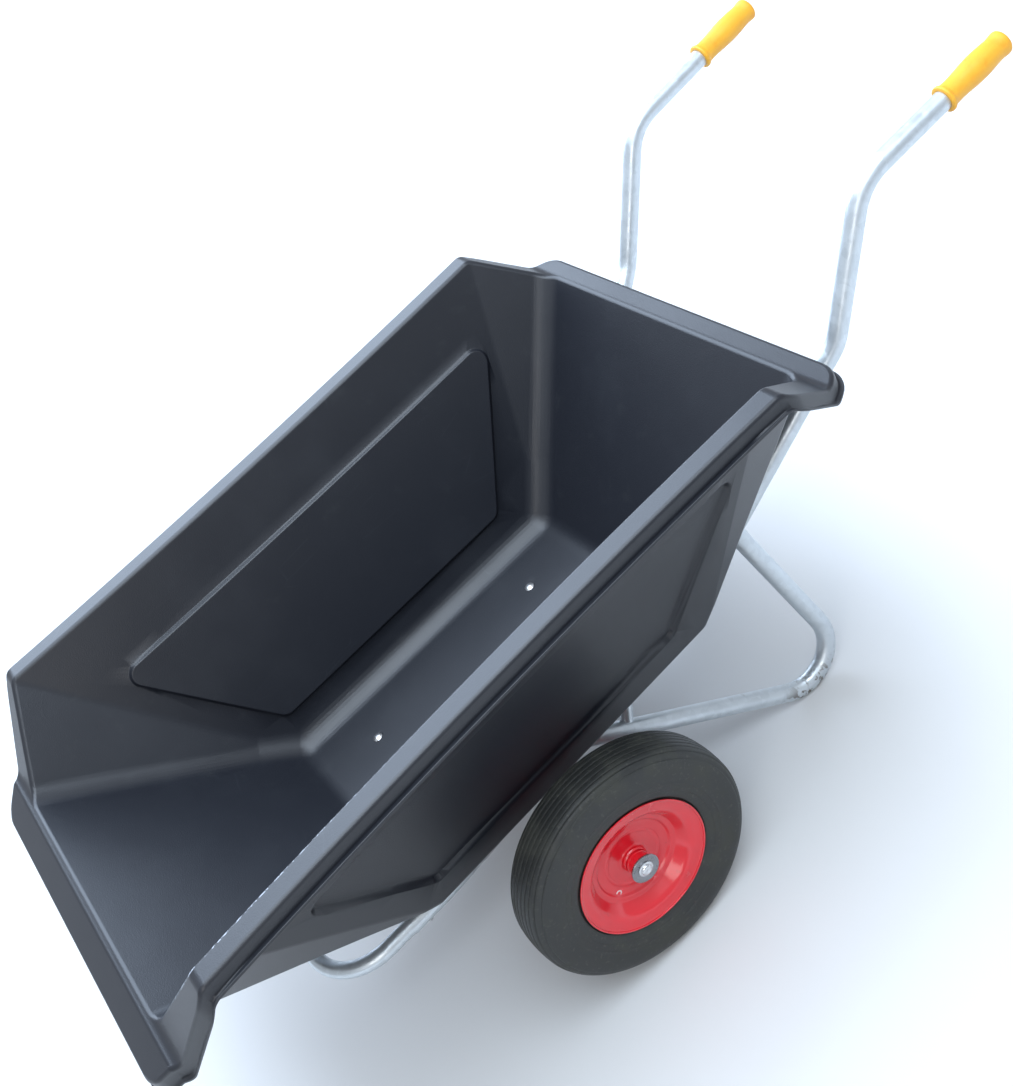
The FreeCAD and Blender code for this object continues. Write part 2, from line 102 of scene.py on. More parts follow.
def midOf(node):
    low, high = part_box(node)
    return (Vector(low) + Vector(high)) / 2


def dotPiece(name, at):
    # one vertex to draw a profile from: a small plane merged to its centre
    deselectAll()
    bpy.ops.mesh.primitive_plane_add(size=0.01, location=(0, 0, 0))
    obj = bpy.context.active_object
    obj.name = name
    obj.data.name = name
    editAll(obj)
    bpy.ops.mesh.merge(type="CENTER")
    bpy.ops.mesh.select_all(action="SELECT")
    bpy.ops.transform.translate(value=at)
    return obj


def lathe(name, profile, centre, steps=96, outwards=1):
    # profile points are (distance along X, radius); the axle of the turn runs along X through the centre
    spots = [Vector((outwards * x, 0, r)) + centre for x, r in profile]
    obj = dotPiece(name, spots[0])
    for before, after in zip(spots, spots[1:]):
        bpy.ops.mesh.extrude_region_move(TRANSFORM_OT_translate={"value": after - before})
    bpy.ops.mesh.select_all(action="SELECT")
    bpy.ops.mesh.spin(steps=steps, angle=2 * math.pi, center=centre, axis=(1, 0, 0))
    bpy.ops.mesh.select_all(action="SELECT")
    bpy.ops.mesh.remove_doubles(threshold=0.00005)
    bpy.ops.mesh.normals_make_consistent(inside=False)
    bpy.ops.object.mode_set(mode="OBJECT")
    return obj


def twin(obj, name, shift):
    # a copy with its own mesh, moved along by shift
    pick(obj)
    bpy.ops.object.duplicate()
    copy = bpy.context.active_object
    copy.name = name
    copy.data.name = name
    copy.location = shift
    settle(copy)
    return copy


def mirrorTwin(obj, name):
    pick(obj)
    bpy.ops.object.duplicate()
    copy = bpy.context.active_object
    copy.name = name
    copy.data.name = name
    copy.scale = (-1, 1, 1)
    settle(copy)
    editAll(copy)
    bpy.ops.mesh.normals_make_consistent(inside=False)
    bpy.ops.object.mode_set(mode="OBJECT")
    return copy


# ---- shader effects shared by several materials ----
def newGroup(name, inputs, outputs):
    group = bpy.data.node_groups.new(name, "ShaderNodeTree")
    for label, kind, value in inputs:
        socket = group.interface.new_socket(label, in_out="INPUT", socket_type=kind)
        socket.default_value = value
    for label, kind in outputs:
        group.interface.new_socket(label, in_out="OUTPUT", socket_type=kind)
    start = group.nodes.new("NodeGroupInput")
    end = group.nodes.new("NodeGroupOutput")
    return group, start, end


def addNode(tree, kind, **settings):
    node = tree.nodes.new(kind)
    for key, value in settings.items():
        if key in ("operation", "blend_type", "data_type", "feature", "noise_dimensions", "wave_type", "bands_direction",
                   "invert", "clamp", "interpolation_type", "distance"):
            setattr(node, key, value)
        else:
            node.inputs[key].default_value = value
    return node


def wire(tree, source, target):
    tree.links.new(source, target)


def ramp(tree, source, stops):
    node = tree.nodes.new("ShaderNodeValToRGB")
    node.color_ramp.elements[0].position = stops[0][0]
    node.color_ramp.elements[0].color = stops[0][1]
    node.color_ramp.elements[1].position = stops[-1][0]
    node.color_ramp.elements[1].color = stops[-1][1]
    for position, colour in stops[1:-1]:
        node.color_ramp.elements.new(position).color = colour
    wire(tree, source, node.inputs["Fac"])
    return node


def grey(v):
    return (v, v, v, 1)


def makePatchGroup():
    # soft blotches: a mask that is 1 in scattered patches of the given size and amount
    group, start, end = newGroup("patches", [("Vector", "NodeSocketVector", (0, 0, 0)),
                                             ("Scale", "NodeSocketFloat", 5.0), ("Amount", "NodeSocketFloat", 0.5),
                                             ("Softness", "NodeSocketFloat", 0.2)], [("Mask", "NodeSocketFloat")])
    noise = addNode(group, "ShaderNodeTexNoise", Detail=6.0, Roughness=0.62)
    wire(group, start.outputs["Vector"], noise.inputs["Vector"])
    wire(group, start.outputs["Scale"], noise.inputs["Scale"])
    level = addNode(group, "ShaderNodeMath", operation="SUBTRACT")
    level.inputs[0].default_value = 1.0
    wire(group, start.outputs["Amount"], level.inputs[1])
    reach = addNode(group, "ShaderNodeMath", operation="ADD")
    wire(group, level.outputs[0], reach.inputs[0])
    wire(group, start.outputs["Softness"], reach.inputs[1])
    spread = addNode(group, "ShaderNodeMapRange", interpolation_type="SMOOTHSTEP")
    wire(group, noise.outputs["Fac"], spread.inputs["Value"])
    wire(group, level.outputs[0], spread.inputs["From Min"])
    wire(group, reach.outputs[0], spread.inputs["From Max"])
    wire(group, spread.outputs["Result"], end.inputs["Mask"])
    return group


def makeGrainGroup():
    # moulded or sprayed surface: fine grain laid over a slow unevenness, as a height
    group, start, end = newGroup("surfaceGrain", [("Vector", "NodeSocketVector", (0, 0, 0)),
                                                  ("Grain", "NodeSocketFloat", 600.0), ("Wave", "NodeSocketFloat", 8.0),
                                                  ("Wave Share", "NodeSocketFloat", 0.5)], [("Height", "NodeSocketFloat")])
    fine = addNode(group, "ShaderNodeTexNoise", Detail=2.0)
    slow = addNode(group, "ShaderNodeTexNoise", Detail=1.0)
    mix = addNode(group, "ShaderNodeMix", data_type="FLOAT")
    for node, scale in ((fine, "Grain"), (slow, "Wave")):
        wire(group, start.outputs["Vector"], node.inputs["Vector"])
        wire(group, start.outputs[scale], node.inputs["Scale"])
    wire(group, start.outputs["Wave Share"], mix.inputs[0])
    wire(group, fine.outputs["Fac"], mix.inputs[2])
    wire(group, slow.outputs["Fac"], mix.inputs[3])
    wire(group, mix.outputs[0], end.inputs["Height"])
    return group


def makeScratchGroup():
    # thin broken scratches along one direction of the stretched coordinates
    group, start, end = newGroup("scratches", [("Vector", "NodeSocketVector", (0, 0, 0)),
                                               ("Scale", "NodeSocketFloat", 20.0), ("Width", "NodeSocketFloat", 0.02),
                                               ("Stretch", "NodeSocketVector", (1, 1, 1))], [("Mask", "NodeSocketFloat")])
    stretch = addNode(group, "ShaderNodeVectorMath", operation="MULTIPLY")
    wire(group, start.outputs["Vector"], stretch.inputs[0])
    wire(group, start.outputs["Stretch"], stretch.inputs[1])
    cells = addNode(group, "ShaderNodeTexVoronoi", feature="DISTANCE_TO_EDGE")
    wire(group, stretch.outputs[0], cells.inputs["Vector"])
    wire(group, start.outputs["Scale"], cells.inputs["Scale"])
    thin = addNode(group, "ShaderNodeMapRange", interpolation_type="SMOOTHSTEP")
    wire(group, cells.outputs["Distance"], thin.inputs["Value"])
    wire(group, start.outputs["Width"], thin.inputs["From Max"])
    thin.inputs["To Min"].default_value = 1.0
    thin.inputs["To Max"].default_value = 0.0
    broken = addNode(group, "ShaderNodeTexNoise", Scale=9.0, Detail=3.0)
    wire(group, start.outputs["Vector"], broken.inputs["Vector"])
    keep = addNode(group, "ShaderNodeMapRange", interpolation_type="SMOOTHSTEP")
    wire(group, broken.outputs["Fac"], keep.inputs["Value"])
    keep.inputs["From Min"].default_value = 0.52
    keep.inputs["From Max"].default_value = 0.66
    both = addNode(group, "ShaderNodeMath", operation="MULTIPLY")
    wire(group, thin.outputs["Result"], both.inputs[0])
    wire(group, keep.outputs["Result"], both.inputs[1])
    wire(group, both.outputs[0], end.inputs["Mask"])
    return group


patchGroup = makePatchGroup()
grainGroup = makeGrainGroup()
scratchGroup = makeScratchGroup()


def newMaterial(name, **shaderValues):
    mat = bpy.data.materials.new(name)
    mat.use_nodes = True
    tree = mat.node_tree
    shader = tree.nodes["Principled BSDF"]
    for key, value in shaderValues.items():
        shader.inputs[key.replace("_", " ")].default_value = value
    coords = tree.nodes.new("ShaderNodeTexCoord")
    return mat, tree, shader, coords.outputs["Object"]


def placeGroup(tree, group, vector, **values):
    node = tree.nodes.new("ShaderNodeGroup")
    node.node_tree = group
    wire(tree, vector, node.inputs["Vector"])
    for key, value in values.items():
        node.inputs[key.replace("_", " ")].default_value = value
    return node


def mixColour(tree, mask, under, over):
    node = addNode(tree, "ShaderNodeMix", data_type="RGBA")
    wire(tree, mask, node.inputs[0])
    for socket, value in ((node.inputs[6], under), (node.inputs[7], over)):
        if isinstance(value, tuple):
            socket.default_value = value
        else:
            wire(tree, value, socket)
    return node.outputs[2]


def bumpFrom(tree, shader, height, strength, distance):
    bump = addNode(tree, "ShaderNodeBump", Strength=strength, Distance=distance)
    wire(tree, height, bump.inputs["Height"])
    wire(tree, bump.outputs["Normal"], shader.inputs["Normal"])
    return bump


def spanValue(tree, source, low, high):
    node = addNode(tree, "ShaderNodeMapRange")
    wire(tree, source, node.inputs["Value"])
    node.inputs["To Min"].default_value = low
    node.inputs["To Max"].default_value = high
    return node.outputs["Result"]


# ---- tub plastic ----
tubLook = {"black": (0.0085, 0.0100, 0.0150, 1), "faded": (0.0120, 0.0140, 0.0195, 1), "scuff": (0.42, 0.46, 0.52, 1),
           "dust": (0.07, 0.075, 0.075, 1), "speck": (0.75, 0.78, 0.8, 1), "roughLow": 0.37, "roughHigh": 0.44}


def makeTubPlastic():
    mat, tree, shader, at = newMaterial("tubPlastic", Specular_IOR_Level=0.55)
    cloud = placeGroup(tree, patchGroup, at, Scale=4.0, Amount=0.55, Softness=0.35)
    dust = placeGroup(tree, patchGroup, at, Scale=22.0, Amount=0.42, Softness=0.22)
    specks = addNode(tree, "ShaderNodeTexVoronoi", Scale=26.0)
    wire(tree, at, specks.inputs["Vector"])
    dots = addNode(tree, "ShaderNodeMapRange", interpolation_type="SMOOTHSTEP")
    wire(tree, specks.outputs["Distance"], dots.inputs["Value"])
    dots.inputs["From Min"].default_value = 0.018
    dots.inputs["From Max"].default_value = 0.032
    dots.inputs["To Min"].default_value = 1.0
    dots.inputs["To Max"].default_value = 0.0
    few = placeGroup(tree, patchGroup, at, Scale=1.7, Amount=0.40, Softness=0.05)
    speckMask = addNode(tree, "ShaderNodeMath", operation="MULTIPLY")
    wire(tree, dots.outputs["Result"], speckMask.inputs[0])
    wire(tree, few.outputs["Mask"], speckMask.inputs[1])
    scratch = placeGroup(tree, scratchGroup, at, Scale=14.0, Width=0.006, Stretch=(1.0, 0.22, 1.0))
    base = mixColour(tree, cloud.outputs["Mask"], tubLook["black"], tubLook["faded"])
    dustShare = spanValue(tree, dust.outputs["Mask"], 0.0, 0.10)
    base = mixColour(tree, dustShare, base, tubLook["dust"])
    scratchShare = spanValue(tree, scratch.outputs["Mask"], 0.0, 0.02)
    base = mixColour(tree, scratchShare, base, tubLook["scuff"])
    base = mixColour(tree, speckMask.outputs[0], base, tubLook["speck"])
    wearMask = tree.nodes.new("ShaderNodeAttribute")
    wearMask.attribute_name = "rimWear"
    worn = placeGroup(tree, patchGroup, at, Scale=120.0, Amount=0.50, Softness=0.06)
    facing = tree.nodes.new("ShaderNodeNewGeometry")
    sides = tree.nodes.new("ShaderNodeSeparateXYZ")
    wire(tree, facing.outputs["Normal"], sides.inputs[0])
    wearShare = addNode(tree, "ShaderNodeMath", operation="MULTIPLY")
    wire(tree, wearMask.outputs["Fac"], wearShare.inputs[0])
    wire(tree, worn.outputs["Mask"], wearShare.inputs[1])
    for axis, start, full in (("X", -0.10, -0.25), ("Z", 0.50, 0.62)):      # only the rounded inner edge shows it
        reach = addNode(tree, "ShaderNodeMapRange", interpolation_type="SMOOTHSTEP")
        wire(tree, sides.outputs[axis], reach.inputs["Value"])
        reach.inputs["From Min"].default_value = start
        reach.inputs["From Max"].default_value = full
        both = addNode(tree, "ShaderNodeMath", operation="MULTIPLY")
        wire(tree, wearShare.outputs[0], both.inputs[0])
        wire(tree, reach.outputs["Result"], both.inputs[1])
        wearShare = both
    base = mixColour(tree, wearShare.outputs[0], base, tubLook["scuff"])
    wire(tree, base, shader.inputs["Base Color"])
    rough = spanValue(tree, cloud.outputs["Mask"], tubLook["roughLow"], tubLook["roughHigh"])
    wire(tree, rough, shader.inputs["Roughness"])
    grain = placeGroup(tree, grainGroup, at, Grain=520.0, Wave=7.0, Wave_Share=0.82)
    bumpFrom(tree, shader, grain.outputs["Height"], 0.35, 0.004)
    return mat


# ---- galvanised tube ----
zincLook = {"pale": (0.60, 0.645, 0.68, 1), "dull": (0.43, 0.47, 0.50, 1), "stain": (0.26, 0.27, 0.26, 1),
            "scraped": (0.16, 0.14, 0.12, 1), "scrapeFull": 0.018, "scrapeTop": 0.05}


def makeGalvanised():
    mat, tree, shader, at = newMaterial("galvanised", Metallic=0.75, Specular_IOR_Level=0.5)
    spangle = addNode(tree, "ShaderNodeTexVoronoi", Scale=95.0)
    wire(tree, at, spangle.inputs["Vector"])
    crystal = addNode(tree, "ShaderNodeSeparateColor")
    wire(tree, spangle.outputs["Color"], crystal.inputs[0])
    cloud = placeGroup(tree, patchGroup, at, Scale=11.0, Amount=0.6, Softness=0.4)
    stain = placeGroup(tree, patchGroup, at, Scale=34.0, Amount=0.36, Softness=0.1)
    share = spanValue(tree, crystal.outputs[0], 0.0, 0.35)
    base = mixColour(tree, share, zincLook["pale"], zincLook["dull"])
    base = mixColour(tree, spanValue(tree, cloud.outputs["Mask"], 0.0, 0.3), base, zincLook["dull"])
    base = mixColour(tree, spanValue(tree, stain.outputs["Mask"], 0.0, 0.35), base, zincLook["stain"])
    height = tree.nodes.new("ShaderNodeSeparateXYZ")
    wire(tree, at, height.inputs[0])
    low = addNode(tree, "ShaderNodeMapRange", interpolation_type="SMOOTHSTEP")      # the feet are scraped where they drag
    wire(tree, height.outputs["Z"], low.inputs["Value"])
    low.inputs["From Min"].default_value = zincLook["scrapeFull"]
    low.inputs["From Max"].default_value = zincLook["scrapeTop"]
    low.inputs["To Min"].default_value = 1.0
    low.inputs["To Max"].default_value = 0.0
    scraped = placeGroup(tree, patchGroup, at, Scale=75.0, Amount=0.50, Softness=0.07)
    scrape = addNode(tree, "ShaderNodeMath", operation="MULTIPLY")
    wire(tree, low.outputs["Result"], scrape.inputs[0])
    wire(tree, scraped.outputs["Mask"], scrape.inputs[1])
    base = mixColour(tree, scrape.outputs[0], base, zincLook["scraped"])
    wire(tree, base, shader.inputs["Base Color"])
    wire(tree, spanValue(tree, crystal.outputs[1], 0.30, 0.44), shader.inputs["Roughness"])
    grain = placeGroup(tree, grainGroup, at, Grain=240.0, Wave=40.0, Wave_Share=0.5)
    bumpFrom(tree, shader, grain.outputs["Height"], 0.16, 0.001)
    return mat


# ---- bright zinc, axle and fasteners ----
def makeZinc(name, light, dark):
    mat, tree, shader, at = newMaterial(name, Metallic=0.95)
    cloud = placeGroup(tree, patchGroup, at, Scale=90.0, Amount=0.55, Softness=0.3)
    base = mixColour(tree, cloud.outputs["Mask"], light, dark)
    wire(tree, base, shader.inputs["Base Color"])
    wire(tree, spanValue(tree, cloud.outputs["Mask"], 0.24, 0.42), shader.inputs["Roughness"])
    grain = placeGroup(tree, grainGroup, at, Grain=1400.0, Wave=120.0, Wave_Share=0.4)
    bumpFrom(tree, shader, grain.outputs["Height"], 0.2, 0.0006)
    return mat


# ---- red wheel paint ----
def makeRedPaint():
    mat, tree, shader, at = newMaterial("redPaint", Coat_Weight=0.6, Coat_Roughness=0.09, Specular_IOR_Level=0.5)
    cloud = placeGroup(tree, patchGroup, at, Scale=16.0, Amount=0.55, Softness=0.4)
    grime = placeGroup(tree, patchGroup, at, Scale=70.0, Amount=0.38, Softness=0.1)
    base = mixColour(tree, cloud.outputs["Mask"], (0.62, 0.008, 0.018, 1), (0.52, 0.006, 0.014, 1))
    base = mixColour(tree, spanValue(tree, grime.outputs["Mask"], 0.0, 0.18), base, (0.12, 0.03, 0.025, 1))
    wire(tree, base, shader.inputs["Base Color"])
    wire(tree, spanValue(tree, cloud.outputs["Mask"], 0.22, 0.32), shader.inputs["Roughness"])
    grain = placeGroup(tree, grainGroup, at, Grain=420.0, Wave=60.0, Wave_Share=0.6)
    bumpFrom(tree, shader, grain.outputs["Height"], 0.08, 0.0008)
    return mat


# ---- tyre rubber ----
def makeTyreRubber():
    mat, tree, shader, at = newMaterial("tyreRubber", Specular_IOR_Level=0.42)
    dust = placeGroup(tree, patchGroup, at, Scale=18.0, Amount=0.56, Softness=0.25)
    fleck = placeGroup(tree, patchGroup, at, Scale=160.0, Amount=0.42, Softness=0.08)
    base = mixColour(tree, dust.outputs["Mask"], (0.020, 0.021, 0.020, 1), (0.036, 0.037, 0.031, 1))
    base = mixColour(tree, spanValue(tree, fleck.outputs["Mask"], 0.0, 0.35), base, (0.085, 0.083, 0.07, 1))
    wire(tree, base, shader.inputs["Base Color"])
    wire(tree, spanValue(tree, dust.outputs["Mask"], 0.48, 0.70), shader.inputs["Roughness"])
    grain = placeGroup(tree, grainGroup, at, Grain=900.0, Wave=90.0, Wave_Share=0.35)
    bumpFrom(tree, shader, grain.outputs["Height"], 0.3, 0.0008)
    return mat


# ---- yellow grip ----
def makeGripYellow():
    mat, tree, shader, at = newMaterial("gripYellow", Specular_IOR_Level=0.45, Subsurface_Weight=0.08,
                                        Subsurface_Scale=0.004)
    cloud = placeGroup(tree, patchGroup, at, Scale=32.0, Amount=0.55, Softness=0.4)
    grime = placeGroup(tree, patchGroup, at, Scale=85.0, Amount=0.36, Softness=0.1)
    base = mixColour(tree, cloud.outputs["Mask"], (0.80, 0.40, 0.030, 1), (0.78, 0.29, 0.014, 1))
    base = mixColour(tree, spanValue(tree, grime.outputs["Mask"], 0.0, 0.3), base, (0.34, 0.20, 0.06, 1))
    wire(tree, base, shader.inputs["Base Color"])
    wire(tree, spanValue(tree, cloud.outputs["Mask"], 0.42, 0.58), shader.inputs["Roughness"])
    grain = placeGroup(tree, grainGroup, at, Grain=1100.0, Wave=70.0, Wave_Share=0.4)
    bumpFrom(tree, shader, grain.outputs["Height"], 0.25, 0.0008)
    return mat


# ---- pale plastics ----
def makePalePlastic(name, light, dark):
    mat, tree, shader, at = newMaterial(name, Specular_IOR_Level=0.5)
    cloud = placeGroup(tree, patchGroup, at, Scale=150.0, Amount=0.5, Softness=0.3)
    wire(tree, mixColour(tree, cloud.outputs["Mask"], light, dark), shader.inputs["Base Color"])
    wire(tree, spanValue(tree, cloud.outputs["Mask"], 0.3, 0.45), shader.inputs["Roughness"])
    return mat


looks = {"tub_plastic": makeTubPlastic(), "galvanised": makeGalvanised(), "zinc_fastener": makeZinc("brightZinc", (0.66, 0.67, 0.69, 1), (0.50, 0.51, 0.53, 1)),
         "washer": makeZinc("dullZinc", (0.27, 0.275, 0.29, 1), (0.20, 0.205, 0.215, 1)),
         "rim_red": makeRedPaint(), "tyre_rubber": makeTyreRubber(), "grip_yellow": makeGripYellow(),
         "plug_plastic": makePalePlastic("plugPlastic", (0.78, 0.62, 0.62, 1), (0.55, 0.38, 0.38, 1)),
         "bearing_nylon": makePalePlastic("bearingNylon", (0.72, 0.71, 0.66, 1), (0.55, 0.54, 0.5, 1)),
         "tyre_foam": makePalePlastic("tyreFoam", (0.4, 0.38, 0.32, 1), (0.3, 0.28, 0.24, 1))}
looks["axle_steel"] = looks["zinc_fastener"]
print("materials made")


def wear(obj, slotName):
    obj.data.materials.clear()
    obj.data.materials.append(looks[slotName])


for part in frame["record"]["subparts"]:
    wear(frame["nodes"][part["node"]], part["material_slot"])


def finishPiece(obj, slotName, body, *nodes):
    wear(obj, slotName)
    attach(obj, body)
    if nodes:
        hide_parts(*nodes)


# ---- tub ----
tubShape = {"bow": 0.014, "bowFront": 0.517, "bowRear": 0.555, "stations": 14, "levels": 4,
            "wornBand": 0.012, "wornLength": 0.42}


def makeTub():
    source = frame["nodes"]["tub"]
    pick(source)
    bpy.ops.object.duplicate()
    tub = bpy.context.active_object
    tub.name = "tubShell"
    tub.data.name = "tubShell"
    tub.parent = None
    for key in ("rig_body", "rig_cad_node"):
        del tub[key]
    editAll(tub)
    bpy.ops.mesh.remove_doubles(threshold=0.00001)
    low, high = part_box("tub")
    axleY = midOf("axle").y
    front = axleY - tubShape["bowFront"]
    rear = axleY + tubShape["bowRear"]
    for i in range(1, tubShape["stations"]):
        y = front + (rear - front) * i / tubShape["stations"]
        bpy.ops.mesh.select_all(action="SELECT")
        bpy.ops.mesh.bisect(plane_co=(0, y, 0), plane_no=(0, 1, 0))
    for i in range(1, tubShape["levels"]):
        z = low[2] + 0.06 + (high[2] - low[2] - 0.06) * i / tubShape["levels"]
        bpy.ops.mesh.select_all(action="SELECT")
        bpy.ops.mesh.bisect(plane_co=(0, 0, z), plane_no=(0, 0, 1))
    bpy.ops.object.mode_set(mode="OBJECT")
    half = (rear - front) / 2
    for v in tub.data.vertices:      # the long sides pull in a little at the middle of their length
        u = (v.co.y - (front + rear) / 2) / half
        h = (v.co.z - low[2]) / (high[2] - low[2])
        if abs(u) < 1:
            v.co.x -= math.copysign(tubShape["bow"] * (1 - u * u) * max(h, 0.0), v.co.x)
    smoothShade(tub, 32)
    useModifier(tub, "WEIGHTED_NORMAL", weight=60, keep_sharp=True)
    wearLayer = tub.data.attributes.new("rimWear", "FLOAT", "POINT")
    for v in tub.data.vertices:      # the load has rubbed the left rim's inner edge near the nose
        onRim = v.co.x > 0.3 and v.co.z > high[2] - tubShape["wornBand"]
        along = 1 - min(abs(v.co.y - front) / tubShape["wornLength"], 1)
        wearLayer.data[v.index].value = along if onRim else 0.0
    finishPiece(tub, "tub_plastic", "frame", "tub")
    print("tub done:", len(tub.data.polygons), "faces")


# ---- wheels ----
tyreShape = {"crown": 0.200, "ribs": ((0.0042, 0.1973), (0.0137, 0.1968), (0.0229, 0.1957)), "grooveWidth": 0.0013}
tyreSide = [(0.0302, 0.1958), (0.0310, 0.1925), (0.0320, 0.1919), (0.0328, 0.1939), (0.0352, 0.1915), (0.0368, 0.1893),
            (0.0375, 0.1862), (0.0384, 0.1853), (0.0396, 0.1852), (0.0408, 0.1815), (0.0420, 0.1755), (0.0428, 0.1680),
            (0.0430, 0.1600), (0.0428, 0.1530), (0.0425, 0.1478), (0.0429, 0.1468), (0.0429, 0.1456), (0.0423, 0.1446),
            (0.0419, 0.1395), (0.0413, 0.1345), (0.0405, 0.1338), (0.0400, 0.1300), (0.0392, 0.1255), (0.0380, 0.1215),
            (0.0362, 0.1192), (0.0345, 0.1185), (0.0336, 0.1175), (0.0335, 0.1080), (0.0290, 0.1022)]


def tyreProfile():
    crown = tyreShape["crown"]
    half = []
    for x, bottom in tyreShape["ribs"]:
        w = tyreShape["grooveWidth"]
        lip = crown - 3.2 * x * x
        half += [(x - w * 0.55, lip), (x, bottom), (x + w, bottom), (x + w * 1.55, lip - 0.0001)]
    half += tyreSide
    return [(-x, r) for x, r in reversed(half)] + half + [(-half[-1][0], half[-1][1])]


rimProfile = [(0.0170, 0.0190), (0.0150, 0.0206), (0.0142, 0.0203), (0.0120, 0.0196), (0.0092, 0.0202), (0.0072, 0.0224),
              (0.0062, 0.0260), (0.0060, 0.0300), (0.0060, 0.0450), (0.0064, 0.0462), (0.0070, 0.0470), (0.0070, 0.0500),
              (0.0064, 0.0508), (0.0060, 0.0520), (0.0060, 0.0640), (0.0066, 0.0668), (0.0082, 0.0688), (0.0104, 0.0700),
              (0.0112, 0.0725), (0.0112, 0.0760), (0.0122, 0.0790), (0.0146, 0.0812), (0.0260, 0.0895), (0.0300, 0.0930),
              (0.0322, 0.0968), (0.0332, 0.1020), (0.0338, 0.1080), (0.0346, 0.1125), (0.0358, 0.1152), (0.0374, 0.1166),
              (0.0388, 0.1166), (0.0392, 0.1152), (0.0386, 0.1140), (0.0374, 0.1136)]
hubProfile = [(-0.0384, 0.0160), (-0.0390, 0.0166), (-0.0390, 0.0184), (-0.0384, 0.0190), (0.0200, 0.0190), (0.0206, 0.0199),
              (0.0216, 0.0202), (0.0226, 0.0199), (0.0232, 0.0190), (0.0384, 0.0190), (0.0390, 0.0184), (0.0390, 0.0166),
              (0.0384, 0.0160), (-0.0384, 0.0160)]
plugProfile = [(-0.0010, 0.0060), (0.0006, 0.0062), (0.0016, 0.0058), (0.0022, 0.0048), (0.0022, 0.0036), (0.0012, 0.0028),
               (-0.0004, 0.0024), (-0.0006, 0.00001)]


def makeWheel(side, outwards):
    body = side + "_wheel"
    centre = midOf(side + "_tyre")
    tyre = lathe(side + "TyreTread", tyreProfile(), centre, steps=120, outwards=outwards)
    useModifier(tyre, "BEVEL", width=0.0004, segments=2, limit_method="ANGLE", angle_limit=math.radians(28))
    smoothShade(tyre, 40)
    finishPiece(tyre, "tyre_rubber", body, side + "_tyre")
    rim = lathe(side + "RimDish", rimProfile, centre, steps=96, outwards=outwards)
    useModifier(rim, "SOLIDIFY", thickness=0.0018, offset=-1)
    useModifier(rim, "BEVEL", width=0.0005, segments=2, limit_method="ANGLE", angle_limit=math.radians(24))
    smoothShade(rim, 40)
    finishPiece(rim, "rim_red", body, side + "_rim_outer")
    hub = lathe(side + "HubTube", hubProfile, centre, steps=72, outwards=outwards)
    smoothShade(hub, 35)
    finishPiece(hub, "rim_red", body, side + "_hub")
    plug = lathe(side + "RimPlug", plugProfile, midOf(side + "_rim_plug"), steps=32, outwards=outwards)
    smoothShade(plug, 50)
    finishPiece(plug, "plug_plastic", body, side + "_rim_plug")


def makeAxleEnd(side, outwards):
    plate = midOf(side + "_end_washer")
    washer = lathe(side + "EndWasher", [(-0.0015, 0.0101), (-0.0015, 0.0248), (0.0008, 0.0250), (0.0015, 0.0242),
                                        (0.0015, 0.0112), (0.0009, 0.0101), (-0.0015, 0.0101)], plate, 64, outwards)
    smoothShade(washer, 30)
    finishPiece(washer, "zinc_fastener", "frame", side + "_end_washer")
    wear(washer, "washer")
    cap = lathe(side + "AxleCap", [(0.0015, 0.0130), (0.0022, 0.0132), (0.0030, 0.0122), (0.0032, 0.0098),
                                   (0.0052, 0.0090), (0.0068, 0.0074), (0.0074, 0.0050), (0.0070, 0.0030),
                                   (0.0062, 0.0014), (0.0060, 0.00001)], plate, 40, outwards)
    smoothShade(cap, 50)
    finishPiece(cap, "zinc_fastener", "frame", side + "_axle_cap")


# ---- grips ----
gripProfile = [(0.000, 0.0162), (0.000, 0.0212), (0.0012, 0.0224), (0.0048, 0.0226), (0.0066, 0.0218), (0.0078, 0.0200),
               (0.0110, 0.0192), (0.0200, 0.0187), (0.0300, 0.0188), (0.0420, 0.0196), (0.0560, 0.0208), (0.0700, 0.0215),
               (0.0840, 0.0213), (0.0970, 0.0203), (0.1080, 0.0194), (0.1150, 0.0193), (0.1210, 0.0203), (0.1255, 0.0208),
               (0.1290, 0.0200), (0.1308, 0.0178), (0.1318, 0.0130), (0.1320, 0.0060), (0.1320, 0.00001)]


def axisOf(node):
    # start point and direction of a long node, from the middles of its two ends
    low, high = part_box(node)
    verts = [v.co for v in frame["nodes"][node].data.vertices]
    ends = []
    for edgeY in (low[1], high[1]):
        close = [v for v in verts if abs(v.y - edgeY) < 0.012]
        xs = [v.x for v in close]
        zs = [v.z for v in close]
        ends.append(Vector(((min(xs) + max(xs)) / 2, edgeY, (min(zs) + max(zs)) / 2)))
    return ends[0], (ends[1] - ends[0]).normalized()


def makeGrip(side):
    start, along = axisOf(side + "_grip")
    grip = lathe(side + "HandGrip", gripProfile, Vector((0, 0, 0)), steps=48)
    pick(grip)
    grip.rotation_mode = "QUATERNION"
    grip.rotation_quaternion = Vector((1, 0, 0)).rotation_difference(along)
    grip.location = start
    settle(grip)
    useModifier(grip, "SUBSURF", levels=1, render_levels=1)
    smoothShade(grip, 60)
    finishPiece(grip, "grip_yellow", "frame", side + "_grip")


makeTub()
for sideName, sign in (("left", 1), ("right", -1)):
    makeWheel(sideName, sign)
    makeAxleEnd(sideName, sign)
    makeGrip(sideName)
print("wheels and grips done")

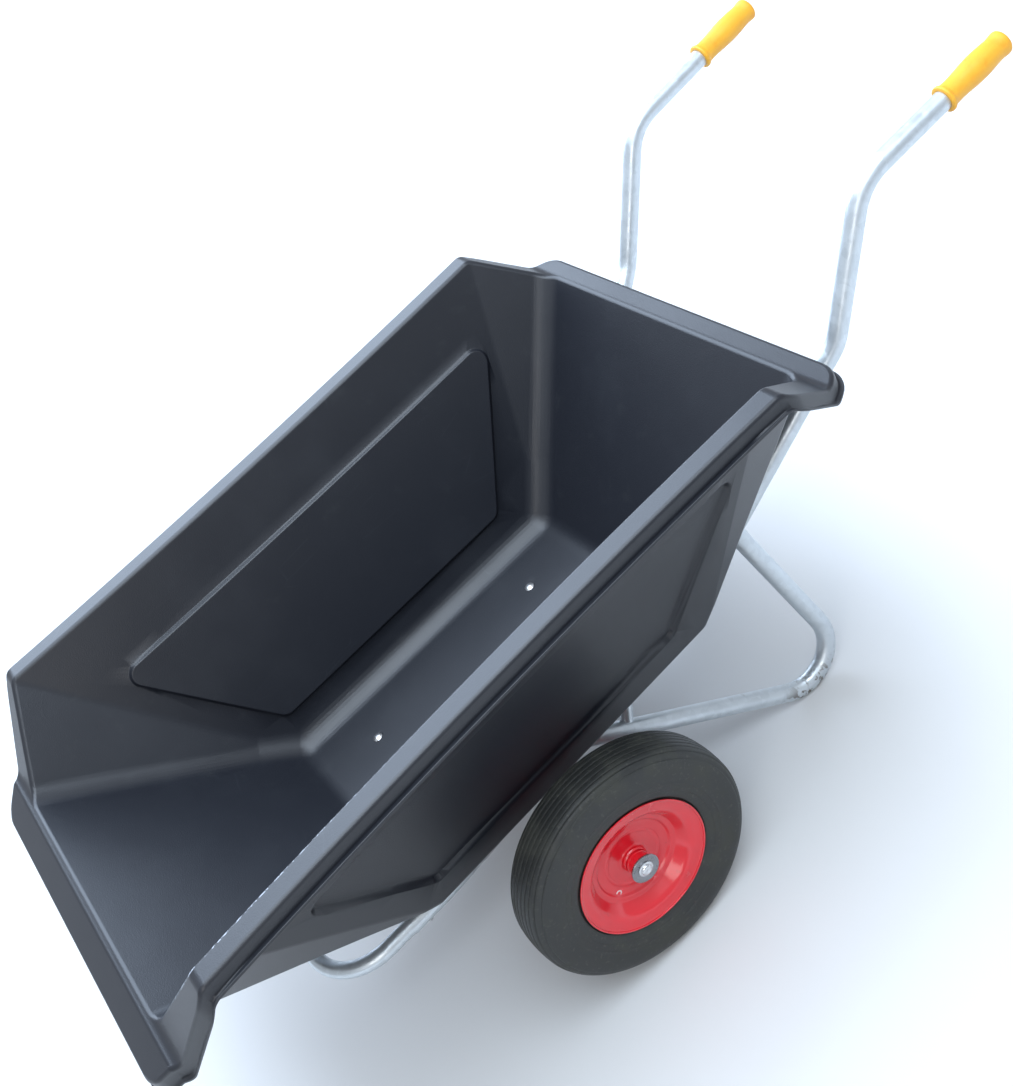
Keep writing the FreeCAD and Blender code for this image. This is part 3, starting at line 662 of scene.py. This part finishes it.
# ---- camera, floor and light ----
cameraSpec = {"place": (1.8408, -0.4065, 1.9813), "turn": (45.13, 28.56, 53.37), "lens": 48.71}
cameraData = bpy.data.cameras.new("camera")
cameraData.lens = cameraSpec["lens"]
cameraData.sensor_width = 36
camera = bpy.data.objects.new("camera", cameraData)
bpy.context.scene.collection.objects.link(camera)
camera.location = cameraSpec["place"]
camera.rotation_euler = [math.radians(a) for a in cameraSpec["turn"]]
bpy.context.scene.camera = camera

deselectAll()
bpy.ops.mesh.primitive_plane_add(size=40, location=(0, 0, 0))
floor = bpy.context.active_object
floor.name = "floor"
floorMat, floorTree, floorShader, floorAt = newMaterial("floor", Roughness=0.9, Specular_IOR_Level=0.1)
floorShader.inputs["Base Color"].default_value = (0.62, 0.62, 0.62, 1)
floor.data.materials.append(floorMat)


def addLight(name, place, aim, size, power, colour):
    data = bpy.data.lights.new(name, "AREA")
    data.shape = "RECTANGLE"
    data.size, data.size_y = size
    data.energy = power
    data.color = colour
    lamp = bpy.data.objects.new(name, data)
    bpy.context.scene.collection.objects.link(lamp)
    lamp.location = place
    lamp.rotation_euler = (Vector(aim) - Vector(place)).to_track_quat("-Z", "Y").to_euler()


addLight("skyPanel", (-5.0, 0.3, 4.7), (0, -0.2, 0.4), (5.6, 8.8), 820, (0.66, 0.80, 1.0))
addLight("topPanel", (0.7, 0.0, 4.6), (0, -0.2, 0.4), (3.4, 5.0), 300, (0.74, 0.86, 1.0))
addLight("sidePanel", (3.2, -2.4, 2.4), (0, -0.2, 0.3), (1.6, 2.0), 30, (1.0, 0.98, 0.96))

world = bpy.data.worlds.new("studio")
world.use_nodes = True
bpy.context.scene.world = world
skyTree = world.node_tree
skyAt = skyTree.nodes.new("ShaderNodeTexCoord")
skySplit = skyTree.nodes.new("ShaderNodeSeparateXYZ")
wire(skyTree, skyAt.outputs["Generated"], skySplit.inputs[0])
skyColour = ramp(skyTree, skySplit.outputs["Z"], [(0.0, (0.70, 0.72, 0.75, 1)), (0.35, (0.80, 0.88, 0.98, 1)),
                                                  (1.0, (0.98, 1.0, 1.0, 1))])
wire(skyTree, skyColour.outputs["Color"], skyTree.nodes["Background"].inputs["Color"])
skyTree.nodes["Background"].inputs["Strength"].default_value = 0.75
bpy.context.scene.view_settings.view_transform = "Standard"
print("stage set")
